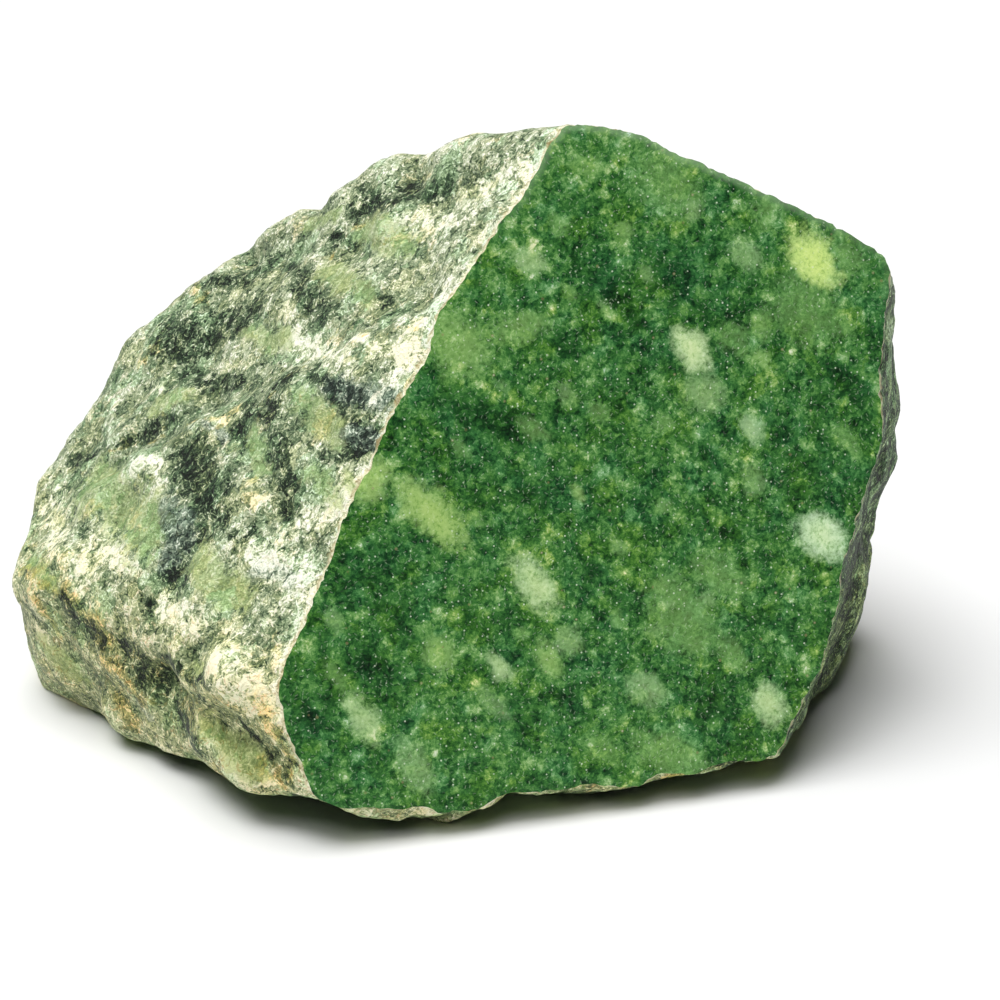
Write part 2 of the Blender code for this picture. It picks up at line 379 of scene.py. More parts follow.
def skin_of_block():
    """The block with its broken faces struck off, as a fine even skin with worn edges."""
    shape = bmesh.new()
    bmesh.ops.create_cube(shape, size=BLOCK)
    for face in BROKEN_FACES.values():
        cut_off(shape, face)
    mesh = bpy.data.meshes.new("block")
    shape.to_mesh(mesh)
    shape.free()
    block = placed("block", mesh)
    skin = block.modifiers.new("skin", "REMESH")
    skin.mode = "VOXEL"
    skin.voxel_size = GRAIN
    rounding = block.modifiers.new("rounding", "SMOOTH")
    rounding.factor = 0.5
    rounding.iterations = ROUNDING
    bpy.context.view_layer.update()
    graph = bpy.context.evaluated_depsgraph_get()
    mesh = bpy.data.meshes.new_from_object(block.evaluated_get(graph))
    bpy.data.objects.remove(block)
    return mesh


def perlin(points, shift=0.0):
    """Perlin noise between -1 and 1 at each point; its features are about one unit across."""
    return np.array([noise.noise(place) for place in (points + shift).tolist()])


def smooth(value, low, high):
    """0 below low, 1 above high, and a soft step between; low may be the greater."""
    share = np.clip((value - low) / (high - low), 0.0, 1.0)
    return share * share * (3 - 2 * share)


def falloff(distance, radius):
    """1 at no distance, and 0 at the radius and beyond."""
    near = np.maximum(0.0, 1.0 - (distance / radius) ** 2)
    return near * near


def from_segment(points, start, end):
    """The distance of each point from the segment between two places."""
    start, run = np.array(start), np.array(end) - np.array(start)
    share = np.clip((points - start) @ run / max(run @ run, 1e-9), 0.0, 1.0)
    return np.linalg.norm(points - start - share[:, None] * run, axis=1)


def ledges(points):
    """The uneven steps of the layers: each one rises slowly and ends in a sharp lip."""
    wander = 0.45 * perlin(points / 17.0, SEED) + 0.12 * perlin(points / 6.0, -SEED)
    along = points @ np.array(facing(*LAYERS)) / LAYER_STEP + 2.2 * wander
    layer = np.floor(along)
    side = (points[:, 0] / 21.0, points[:, 2] / 23.0)
    height = perlin(np.stack((layer * 3.7, *side), axis=1), SEED)
    following = perlin(np.stack(((layer + 1) * 3.7, *side), axis=1), SEED)
    return height + (following - height) * smooth(along - layer, LIP_START, 1.0)


def weathered(points):
    """How far the surface stands out or in at each point, as in the solid."""
    height = LEDGE * ledges(points)
    for size, swell in ROUGHNESS:
        height += swell * perlin(points / size, SEED)
    for where, radius, rise in MARKS.values():
        height += rise * falloff(np.linalg.norm(points - np.array(where), axis=1), radius)
    wobble = np.zeros_like(points)
    wobble[:, 2] = 0.9 * perlin(points / 4.0, -SEED)
    for start, end, width, rise in CREASES.values():
        height += rise * falloff(from_segment(points - wobble, start, end), 2.0 * width)
    return height


def fine_relief(points):
    """The broken grain of the rock, below what the solid shows."""
    bend = np.stack([perlin(points / 3.0, shift) for shift in (1.3, 9.7, 17.9)], axis=1)
    bent = points + 0.9 * bend
    layer = bent @ np.array(facing(*LAYERS)) / 1.6 + 1.4 * perlin(points / 4.0, 22.3)
    level = np.floor(layer)
    sides = (bent[:, 0] / 3.0, bent[:, 2] / 3.0)
    step = perlin(np.stack((level * 1.7, *sides), axis=1))
    after = perlin(np.stack(((level + 1) * 1.7, *sides), axis=1))
    steps = step + (after - step) * smooth(layer - level, 0.75, 1.0)
    grain = 0.09 * perlin(bent / 1.7, 3.1) + 0.10 * perlin(points / 0.95, 8.2)
    crumbs = 0.14 * (0.3 - np.abs(perlin(bent / 1.3, 15.7)))
    return grain + crumbs + 0.10 * steps


def coordinates(mesh, kind="co"):
    """The places of a mesh's points, or their normals, as rows."""
    values = np.empty(len(mesh.vertices) * 3)
    mesh.vertices.foreach_get(kind, values)
    return values.reshape(-1, 3)


def under_sawn_face(points):
    """How deep each point lies under the sawn face."""
    return SAWN_FACE[2] - (points - np.array(HEART)) @ np.array(OUTWARD)


def inside_outline(places, outline, margin):
    """Which places lie within a closed outline, by more than the margin."""
    crossed = np.zeros(len(places), bool)
    nearest = np.full(len(places), np.inf)
    for start, end in zip(outline, np.roll(outline, -1, axis=0)):
        run = end - start
        nearest = np.minimum(nearest, from_segment(places, start, end))
        spans = (start[1] > places[:, 1]) != (end[1] > places[:, 1])
        if spans.any():
            crossed ^= spans & (places[:, 0] < start[0] + (places[:, 1] - start[1]) * run[0] / run[1])
    return crossed & (nearest > margin)


def flat_face(shape, face, spacing):
    """Replaces one flat many-sided face by small triangles that share its rim."""
    outward = face.normal.copy()
    right = Vector((-outward.y, outward.x, 0.0)) if abs(outward.z) < 0.9 else Vector((1, 0, 0))
    right.normalize()
    up = outward.cross(right).normalized()
    middle = face.calc_center_median()
    rim = list(face.verts)
    flat = [Vector(((v.co - middle).dot(right), (v.co - middle).dot(up))) for v in rim]
    count = len(rim)
    outline = np.array(flat)
    low, high = outline.min(axis=0), outline.max(axis=0)
    # The rows of even triangles: each is set half a spacing aside from the last.
    inside = []
    for index, y in enumerate(np.arange(low[1], high[1], spacing * 0.866)):
        xs = np.arange(low[0] + (index % 2) * spacing / 2, high[0], spacing)
        inside.append(np.stack((xs, np.full_like(xs, y)), axis=1))
    inside = np.concatenate(inside)
    inside = inside[inside_outline(inside, outline, spacing * 0.45)]
    edges = [(i, (i + 1) % count) for i in range(count)]
    points = flat + [Vector(p) for p in inside.tolist()]
    verts, _, faces, sources, *_ = geometry.delaunay_2d_cdt(points, edges, [], 1, 1e-6)
    smooth_face, slot = face.smooth, face.material_index
    shape.faces.remove(face)
    corners = []
    for place, source in zip(verts, sources):
        old = [i for i in source if i < count]
        corner = rim[old[0]] if old else shape.verts.new(middle + right * place.x + up * place.y)
        corners.append(corner)
    for triangle in faces:
        try:
            made_face = shape.faces.new([corners[i] for i in triangle])
        except ValueError:
            continue
        made_face.material_index, made_face.smooth = slot, smooth_face


def stone_mesh():
    """The solid's shape with its fine relief, cut flat by the saw and by the floor."""
    mesh = skin_of_block()
    points, normals = coordinates(mesh), coordinates(mesh, "normal")
    # What the saw and the floor take away needs no relief, but for a margin beyond their cuts.
    kept = (under_sawn_face(points) > -2.5) & (points[:, 2] > -5.0)
    places = points[kept]
    height = np.zeros(len(points))
    height[kept] = weathered(places) + fine_relief(places) - SINK
    # The saw leaves the rim straighter than the broken skin, finely chipped, and thin below.
    depth = under_sawn_face(places)
    by_rim = falloff(depth, RIM_WIDTH)
    chips = 0.11 * perlin(places / 0.8, 71.3) - 0.16 * falloff(perlin(places / 1.9, 90.1), 0.16)
    below = smooth(-normals[kept, 2], 0.55, 0.8) * smooth(depth, 1.5, 0.2)
    below *= smooth(perlin(places / 4.5, 55.5), -0.25, 0.15)
    height[kept] = height[kept] * (1.0 - 0.45 * by_rim) + chips * by_rim - 0.75 * below
    points += normals * height[:, None]
    mesh.vertices.foreach_set("co", points.ravel())
    shape = bmesh.new()
    shape.from_mesh(mesh)
    bpy.data.meshes.remove(mesh)
    shape.normal_update()
    for face in shape.faces:
        face.smooth = True
    cut_off(shape, SAWN_FACE)
    cut_off(shape, FLOOR_CUT)
    shape.normal_update()
    for face in sorted(shape.faces, key=lambda f: -f.calc_area())[:2]:
        on_floor = face.normal.z < -0.9
        face.material_index = 0 if on_floor else 1
        flat_face(shape, face, FLOOR_SPACING if on_floor else SAWN_SPACING)
    shape.normal_update()
    for edge in shape.edges:
        if len(edge.link_faces) == 2 and edge.calc_face_angle() > SHARP_TURN:
            kinds = {f.material_index for f in edge.link_faces}
            flat = [abs(f.normal.z + 1) < 1e-4 for f in edge.link_faces]
            if len(kinds) == 2 or any(flat) and not all(flat):
                edge.smooth = False
    bmesh.ops.triangulate(shape, faces=[f for f in shape.faces if len(f.verts) > 4])
    mesh = bpy.data.meshes.new("raw stone")
    shape.to_mesh(mesh)
    shape.free()
    return mesh


def edges_of(mesh):
    """The two points of each edge of a mesh, as rows."""
    edges = np.empty(len(mesh.edges) * 2, np.int32)
    mesh.edges.foreach_get("vertices", edges)
    return edges.reshape(-1, 2)


def neighbours_mean(values, edges):
    """The mean of each point's neighbours."""
    total = np.zeros_like(values)
    for a, b in ((0, 1), (1, 0)):
        for column in range(values.shape[1]):
            total[:, column] += np.bincount(edges[:, a], values[edges[:, b], column], len(values))
    return total / np.bincount(edges.ravel(), minlength=len(values))[:, None]


def hollows(mesh, points, normals):
    """How far each point lies below the surface close around it, and further around."""
    edges = edges_of(mesh)
    level, found = points, []
    for turn in range(1, LARGE_HOLLOWS + 1):
        level = neighbours_mean(level, edges)
        if turn in (SMALL_HOLLOWS, LARGE_HOLLOWS):
            found.append(np.sum((level - points) * normals, axis=1))
    return found


def patch_field(points, streaks, solid):
    """1 along the middle of the nearest streak, a half at its edge, and less beyond."""
    field = np.full(len(points), -1.0)
    for *ends, width in streaks:
        start, end = (on_stone(pixel, solid) for pixel in (ends[:2], ends[2:]))
        reach = 2.0 * half_width(width, start)
        field = np.maximum(field, 1.0 - from_segment(points, start, end) / reach)
    return field


def store(mesh, name, *columns):
    """Keeps up to three numbers for each point on the mesh."""
    values = np.zeros((len(mesh.vertices), 3), np.float32)
    values[:, : len(columns)] = np.stack(columns, axis=1)
    mesh.attributes.new(name, "FLOAT_VECTOR", "POINT").data.foreach_set("vector", values.ravel())


def mark_skin(mesh, solid):
    """Where each mineral of the rough skin shows, and where shade and highlight are painted on it, kept
    on the mesh for the material.
    """
    points, normals = coordinates(mesh), coordinates(mesh, "normal")
    warp = np.stack([perlin(points / 2.6, shift) for shift in (31.7, 45.1, 53.9)], axis=1)
    warp += 0.45 * np.stack([perlin(points / 1.0, shift) for shift in (61.7, 75.1, 83.9)], axis=1)
    bent = points + 0.8 * warp
    fields = {name: patch_field(bent, streaks, solid) for name, streaks in PATCHES.items()}
    # Painted shade: the right side and the underside, turned away from the light, are made a darker green
    # and join the blackish mineral's patches.
    shaded_flank = smooth(normals @ np.array(facing(*SHADED_FLANK)), 0.30, 0.90) * smooth(points[:, 0], 16, 24)
    shaded_flank *= smooth(points[:, 2] + 5.0 * perlin(bent / 5.0, 12.3), 48, 36)
    under = smooth(-normals[:, 2], 0.60, 0.85)
    deep = np.maximum(shaded_flank, under)
    clotted = perlin(bent / 3.4, 91.0) + 0.5 * perlin(bent / 1.5, 97.0)
    fields["dark_mineral_and_shade"] = np.maximum(fields["dark_mineral_and_shade"], (1.75 + 1.1 * clotted) * deep - 1.0)
    # Away from the camera's side the same minerals lie in streaks along the layers.
    seen = smooth(normals @ np.array(facing(*SEEN_SIDE)), 0.0, 0.4) * smooth(points[:, 0], 12, 4)
    across = np.array(facing(*LAYERS))
    lying = bent + 1.3 * (bent @ across)[:, None] * across
    unseen = 1.0 - 0.95 * seen
    for name, (size, least, seed) in STREAKS.items():
        level = perlin(lying / size, seed) + 0.45 * perlin(lying / (size * 0.42), seed + 3.0)
        field = np.clip((level - least) * 2.6, -1.0, 1.0)
        fields[name] = np.maximum(fields[name], (field + 1.0) * unseen - 1.0)
    # No pale minerals show in the painted shade of the right side.
    for name in ("cream", "tan", "olive"):
        fields[name] -= 1.2 * shaded_flank
    bruised = np.clip(1.0 - under_sawn_face(points) / RIM_WIDTH, 0.0, 1.0) * (1.0 - 0.9 * shaded_flank)
    # How far each point sinks below its surroundings, for painted shade in hollows and painted highlight
    # on ridges.
    near, wide = hollows(mesh, points, normals)
    wavering = points + 0.5 * warp
    # Thin lines along the sunken creases, where shade is painted into the cracks.
    crack = np.full(len(points), -1.0)
    for start, end, _, rise in CREASES.values():
        if rise < 0:
            crack = np.maximum(crack, 1.0 - from_segment(wavering, start, end) / CRACK_WIDTH)
    store(mesh, "marks", fields["dark_mineral_and_shade"], fields["cream"], fields["olive"])
    store(mesh, "veins", fields["tan"], fields["blue"], bruised)
    store(mesh, "form", near, wide, crack)
    store(mesh, "deep", deep, shaded_flank)


def across_and_up(places):
    """Places on the sawn face along its own axes."""
    return (np.array(places) - np.array(FOOT)) @ np.stack((ACROSS, UP), axis=1)


def ovals(at, picks, spread, overhang):
    """For each pick, its oval (1 in the middle, 0 at the edge, less beyond) and what else it says."""
    for pick in picks:
        ends = [on_sawn_face(pixel) for pixel in (pick[:2], pick[2:4])]
        aside = spread * half_width(pick[4], ends[0])
        start, end = across_and_up(ends)
        length = np.linalg.norm(end - start)
        along = (end - start) / length
        reach = length / 2 + overhang * aside
        off = at - (start + end) / 2
        yield 1.0 - np.hypot(off @ along / reach, off @ (-along[1], along[0]) / aside), pick[5:]


def from_rim(mesh, points, flat):
    """How far each flat point is from the rim, where a flat point has a neighbour off the face."""
    edges = edges_of(mesh)
    mixed = flat[edges[:, 0]] != flat[edges[:, 1]]
    rim = points[np.unique(edges[mixed][flat[edges[mixed]]])]
    places = points[flat]
    inward = np.full(len(places), np.inf)
    # A few rim points at a time, to keep the memory small.
    for start in range(0, len(rim), 64):
        gaps = np.linalg.norm(places[:, None] - rim[None, start : start + 64], axis=2)
        inward = np.minimum(inward, gaps.min(axis=1))
    return inward


def mark_sawn_face(mesh):
    """Where each spot and cloud of the sawn face lies, kept on the mesh for the material."""
    points = coordinates(mesh)
    flat = np.abs(under_sawn_face(points)) < 1e-3
    place = points[flat]
    warp = np.stack([perlin(place / 1.5, shift) for shift in (11.7, 35.1)], axis=1)
    warp += 0.6 * np.stack([perlin(place / 0.7, shift) for shift in (21.7, 55.1)], axis=1)
    at = across_and_up(place) + 0.55 * warp
    field, strength = np.full(len(at), -1.0), np.zeros(len(at))
    tint = np.zeros((len(at), 3))
    for oval, (power, name) in ovals(at, SPOTS, *SPOT_REACH):
        inner = oval > field
        own = (1.0 - power) * np.array(TINTS["dim"]) + power * np.array(TINTS[name])
        field[inner], strength[inner], tint[inner] = oval[inner], power, own
    shade = np.full(len(at), -1.0)
    for oval, _ in ovals(at, CLOUDS, *CLOUD_REACH):
        shade = np.maximum(shade, oval)
    inward = from_rim(mesh, points, flat)

    def whole(values, empty):
        column = np.full(len(points), float(empty))
        column[flat] = values
        return column

    store(mesh, "spots", whole(field, -1), whole(strength, 0), whole(shade, -1))
    store(mesh, "tints", *(whole(tint[:, i], 0) for i in range(3)))
    store(mesh, "edge", whole(inward, 0), whole(at[:, 0], 0), whole(at[:, 1], 0))


class Wire:
    """A node's output. Sums and products of wires add the nodes that work them out."""

    def __init__(self, tree, socket):
        self.tree, self.socket = tree, socket

    def math(self, operation, *values):
        node = self.tree.nodes.new("ShaderNodeMath")
        node.operation = operation
        for socket, value in zip(node.inputs, values):
            join(self.tree, value, socket)
        return Wire(self.tree, node.outputs[0])

    def __add__(self, other):
        return self.math("ADD", self, other)

    def __sub__(self, other):
        return self.math("SUBTRACT", self, other)

    def __rsub__(self, other):
        return self.math("SUBTRACT", other, self)

    def __mul__(self, other):
        return self.math("MULTIPLY", self, other)

    __radd__, __rmul__ = __add__, __mul__

    def __abs__(self):
        return self.math("ABSOLUTE", self)

    def most(self, other):
        return self.math("MAXIMUM", self, other)

    def step(self, low, high):
        """0 at low, 1 at high, with a soft step between."""
        node = self.tree.nodes.new("ShaderNodeMapRange")
        node.interpolation_type = "SMOOTHSTEP"
        for socket, value in zip(node.inputs, (self, low, high)):
            join(self.tree, value, socket)
        return Wire(self.tree, node.outputs[0])

    def vector(self, operation, other=None, output=0):
        node = self.tree.nodes.new("ShaderNodeVectorMath")
        node.operation = operation
        join(self.tree, self, node.inputs[0])
        if operation == "SCALE":
            join(self.tree, other, node.inputs["Scale"])
        elif other is not None:
            join(self.tree, other, node.inputs[1])
        return Wire(self.tree, node.outputs[output])

    def parts(self):
        """A vector's three numbers."""
        node = self.tree.nodes.new("ShaderNodeSeparateXYZ")
        join(self.tree, self, node.inputs[0])
        return [Wire(self.tree, output) for output in node.outputs]


def join(tree, value, socket):
    """Links a wire to a socket, or sets a plain value on it."""
    if isinstance(value, Wire):
        tree.links.new(value.socket, socket)
    else:
        socket.default_value = value


class Finish:
    """A material, with the patterns that both of the stone's surfaces are made of."""

    def __init__(self, name, specular):
        self.material = bpy.data.materials.new(name)
        self.material.use_nodes = True
        self.tree = self.material.node_tree
        self.surface = self.tree.nodes["Principled BSDF"]
        self.surface.inputs["Specular IOR Level"].default_value = specular
        self.place = self.output("TexCoord", "Object").vector("SCALE", 1.0 / MM)
        self.normal = self.output("NewGeometry", "Normal")

    def output(self, kind, output, inputs=None, **settings):
        """An output of a new node of this kind."""
        node = self.tree.nodes.new("ShaderNode" + kind)
        for name, value in settings.items():
            setattr(node, name, value)
        for name, value in (inputs or {}).items():
            join(self.tree, value, node.inputs[name])
        return Wire(self.tree, node.outputs[output])

    def stored(self, name):
        """The three numbers that `store` kept on the mesh under this name."""
        return self.output("Attribute", "Vector", attribute_name=name).parts()

    def noise(self, size, detail=2.0, rough=0.55, shift=0.0, place=None, warp=0.0, output=0):
        """Noise from 0 to 1, with features of this size in millimetres."""
        place = (place or self.place).vector("ADD", (shift, shift * 0.7, -shift))
        inputs = {"Vector": place, "Scale": 1.0 / size, "Detail": detail}
        inputs |= {"Roughness": rough, "Distortion": warp}
        return self.output("TexNoise", output, inputs)

    def bent(self, size, reach, shift=0.0):
        """The place, pushed about by noise."""
        push = self.noise(size, 2.0, 0.5, shift, output=1).vector("SUBTRACT", (0.5, 0.5, 0.5))
        return self.place.vector("ADD", push.vector("SCALE", 2.0 * reach))

    def cells(self, size, shift=0.0, place=None):
        """The distance from the nearest cell's middle, its random colour, and the way from its middle."""
        node = self.tree.nodes.new("ShaderNodeTexVoronoi")
        moved = (place or self.place).vector("ADD", (shift, -shift, shift * 0.3))
        join(self.tree, moved, node.inputs["Vector"])
        node.inputs["Scale"].default_value = 1.0 / size
        names = ("Distance", "Color", "Position")
        gap, colour, middle = (Wire(self.tree, node.outputs[name]) for name in names)
        return gap, colour, moved.vector("SUBTRACT", middle)

    def flakes(self, size, shift, place):
        """The distance from the edge of the nearest flake, and three random numbers for it."""
        _, chance, _ = self.cells(size, shift, place)
        moved = place.vector("ADD", (shift, -shift, shift * 0.3))
        inputs = {"Vector": moved, "Scale": 1.0 / size}
        edge = self.output("TexVoronoi", "Distance", inputs, feature="DISTANCE_TO_EDGE")
        return edge, chance.parts()

    def hairs(self, size, width, length, curl, shift=0.0):
        """Short curved hairs lying on the surface, one to a cell, with three random numbers each."""
        _, chance, away = self.cells(size, shift)
        lie = self.normal.vector("CROSS_PRODUCT", chance.vector("SUBTRACT", (0.5, 0.5, 0.5)))
        lie = lie.vector("NORMALIZE")
        along = away.vector("DOT_PRODUCT", lie, output=1)
        aside = away.vector("DOT_PRODUCT", self.normal.vector("CROSS_PRODUCT", lie), output=1)
        arc = abs(aside + along * along * curl)
        hair = arc.step(width, 0.35 * width) * abs(along).step(length, 0.6 * length)
        return hair, chance.parts()

    def curls(self, size, width, shift, warp=1.5):
        """Thin curling lines, where a noise passes through its middle value."""
        return abs(self.noise(size, 1.0, 0.5, shift, warp=warp) - 0.5).step(width, 0.2 * width)

    def mix(self, share, first, second, blend="MIX"):
        """The first colour where the share is 0, and the second, or the blend of both, where it is 1."""
        node = self.tree.nodes.new("ShaderNodeMix")
        node.data_type, node.blend_type, node.clamp_factor = "RGBA", blend, True
        sockets = [socket for socket in node.inputs if socket.enabled]
        for socket, value in zip(sockets, (share, first, second)):
            join(self.tree, (*value, 1.0) if isinstance(value, tuple) else value, socket)
        output = next(output for output in node.outputs if output.enabled)
        return Wire(self.tree, output)

    def tinted(self, share, colour, tint):
        """The colour, multiplied by a tint where the share is 1."""
        return self.mix(share, colour, tint, "MULTIPLY")

    def ramp(self, value, *stops):
        """Colours by tone: each stop is a tone from 0 to 1 and a screen's colour from 0 to 255."""
        node = self.tree.nodes.new("ShaderNodeValToRGB")
        join(self.tree, value, node.inputs[0])
        elements = node.color_ramp.elements
        while len(elements) < len(stops):
            elements.new(0.5)
        for element, (at, colour) in zip(elements, stops):
            element.position = at
            element.color = (*(linear(part) for part in colour), 1.0)
        return Wire(self.tree, node.outputs[0])

    def close(self, colour, roughness, height):
        """Joins the finished colour, roughness and relief (in millimetres) to the shader."""
        join(self.tree, colour, self.surface.inputs["Base Color"])
        join(self.tree, roughness, self.surface.inputs["Roughness"])
        bump = self.output("Bump", 0, {"Strength": 1.0, "Distance": MM, "Height": height})
        join(self.tree, bump, self.surface.inputs["Normal"])
        return self.material


def linear(part):
    """A part of a screen's colour, from 0 to 255, as the shader counts it."""
    part /= 255.0
    return part / 12.92 if part <= 0.04045 else ((part + 0.055) / 1.055) ** 2.4


def rough_skin():
    """The broken skin: minerals, flakes, hair-like lines and cracks over a mottled tone, with painted
    shade in hollows, cracks, on the right side and underside, and painted highlight on ridges.
    """
    skin = Finish("rough skin", 0.22)
    skin.surface.inputs["Sheen Weight"].default_value = 0.10
    skin.surface.inputs["Sheen Roughness"].default_value = 0.4
    dark_mineral_and_shade, cream, olive = skin.stored("marks")
    tan, blue, bruised = skin.stored("veins")
    near, wide, crack = skin.stored("form")
    deep, shaded_flank, _ = skin.stored("deep")
    # The grain runs along the stone, so that its flakes are a little longer that way.
    run = skin.place.vector("DOT_PRODUCT", GRAIN_RUN, output=1)
    along = skin.output("CombineXYZ", 0, dict(zip("XYZ", GRAIN_RUN))).vector("SCALE", run * 0.20)
    lying = skin.place.vector("SUBTRACT", along)
    broad = skin.noise(6.0, 2.0, 0.6, 3.0) - 0.5
    mottle = skin.noise(1.7, 3.0, 0.7, 9.0, lying, 0.6) - 0.5
    grain = skin.noise(0.60, 2.0, 0.7, 15.0, lying, 1.2) - 0.5
    dust = skin.noise(0.22, 1.0, 0.6, 21.0) - 0.5
    push = skin.noise(0.9, 2.0, 0.6, 61.0, output=1).vector("SUBTRACT", (0.5, 0.5, 0.5))
    _, block, _ = skin.cells(2.3, 35.0, lying.vector("ADD", push.vector("SCALE", 2.6)))
    block = block.parts()
    edge, chance = skin.flakes(0.85, 8.0, lying.vector("ADD", push.vector("SCALE", 1.1)))
    ragged = mottle * 1.5 + grain * 1.1 + (chance[0] - 0.5) * 0.45
    dark_mineral_and_shade = (dark_mineral_and_shade + ragged).step(0.12, 0.62)
    cream = (cream + ragged * 0.9).step(0.10, 0.80)
    olive = (olive + ragged * 0.8).step(0.10, 0.60)
    tan = (tan + ragged * 0.8).step(0.15, 0.75)
    blue = (blue + ragged * 0.8).step(0.1, 0.6)
    bruise = (bruised + mottle * 1.9 + grain * 0.8).step(0.25, 1.15)
    clots = skin.noise(0.95, 2.0, 0.65, 27.0, lying, 0.8)
    white, white_chance = skin.hairs(0.50, 0.075, 0.30, 1.5, 4.0)
    black, black_chance = skin.hairs(0.55, 0.09, 0.30, 1.2, 29.0)
    white = white * white_chance[0].step(0.10, 0.70)
    black = black * black_chance[2].step(0.20, 0.80)
    pale = skin.curls(0.85, 0.050, 37.0) * clots.step(0.40, 0.56)
    lined = edge.step(0.10, 0.02)
    tone = 0.565 + broad * 0.22 + mottle * 0.30 + grain * (block[2] * 0.5 + 0.38) + dust * 0.40
    tone = tone + (chance[1] - 0.5) * 0.26 + (block[0] - 0.5) * 0.15
    # The blackish mineral and the painted shade that joins it lower the tone.
    tone = tone - dark_mineral_and_shade * (0.18 + clots.step(0.70, 0.44) * 0.22)
    tone = tone + cream * (0.18 + clots.step(0.35, 0.6) * 0.2)
    # Hollows are painted darker as shade and ridges lighter as highlight.
    tone = tone + bruise * 0.16 + shaded_flank * 0.04 + olive * 0.02 - near * 0.9 - wide * 0.26
    tone = tone + white * (0.27 + dark_mineral_and_shade * 0.12) + pale * 0.22 - black * 0.24
    # Flake edges turn lighter and darker at random, and the cracks get painted shade.
    tone = tone + lined * (clots - 0.52) * 1.8 - (crack + grain * 1.2).step(0.0, 0.7) * 0.34
    colour = skin.ramp(tone, *SKIN_TONES)
    # The pale green mineral is smooth, with few lines.
    flake = skin.ramp(mottle * 0.7 + grain * 0.6 + dust * 0.5 + 0.5, *PALE_GREEN_TONES)
    colour = skin.mix(olive * 0.62, colour, flake)
    hue = block[1] * 0.55 + skin.noise(3.4, 2.0, 0.6, 33.0) * 0.65 + (chance[2] - 0.5) * 0.25 - 0.1
    colour = skin.tinted(hue.step(0.52, 0.78) * 0.7, colour, SKIN_TINTS["warm"])
    colour = skin.tinted(hue.step(0.48, 0.22) * (0.85 - cream * 0.7), colour, SKIN_TINTS["cool"])
    colour = skin.tinted(olive * 0.35, colour, SKIN_TINTS["olive"])
    colour = skin.mix(blue * 0.65, colour, skin.ramp(tone, *SLATE_TONES))
    colour = skin.tinted(cream * 0.5, colour, SKIN_TINTS["cream"])
    # The lower part is stained a little brown.
    above_floor = skin.place.parts()[2]
    stain = (above_floor - mottle * 14.0).step(22.0, 10.0)
    colour = skin.tinted(stain * 0.7, colour, SKIN_TINTS["stain"])
    rust = block[2].step(0.86, 0.93) * (mottle + grain * 0.5).step(-0.05, 0.15)
    colour = skin.tinted((tan * 0.80).most(rust * 0.45), colour, SKIN_TINTS["tan"])
    # Thin brown seams wander all over, and show most in the lower part and the tan patches.
    seam = skin.noise(2.4, 2.0, 0.6, 71.0, lying, 1.1) - 0.5
    seam = abs(seam).step(0.026, 0.006) * clots.step(0.40, 0.55)
    colour = skin.tinted(seam * (stain * 0.65).most(tan * 0.8).most(0.22), colour, SKIN_TINTS["seam"])
    # Painted shade: the right side and the underside are tinted a darker green.
    colour = skin.tinted(deep * 0.8, colour, SKIN_TINTS["deep"])
    # A pale edging runs along the saw cut.
    sawn_plane = (FOOT - MIDDLE).dot(OUTWARD)
    depth = sawn_plane - skin.place.vector("DOT_PRODUCT", tuple(OUTWARD), output=1)
    lip = (depth + grain * 1.0 + mottle * 0.6).step(0.42, 0.14)
    colour = skin.mix(lip * 0.85, colour, skin.ramp(grain + mottle + 0.5, *EDGING_TONES))
    height = mottle * 0.12 + grain * 0.26 + dust * 0.09 + chance[1] * 0.07 + block[0] * 0.06
    roughness = 0.60 + dust * 0.2 - white * 0.12
    return skin.close(colour, roughness, height)


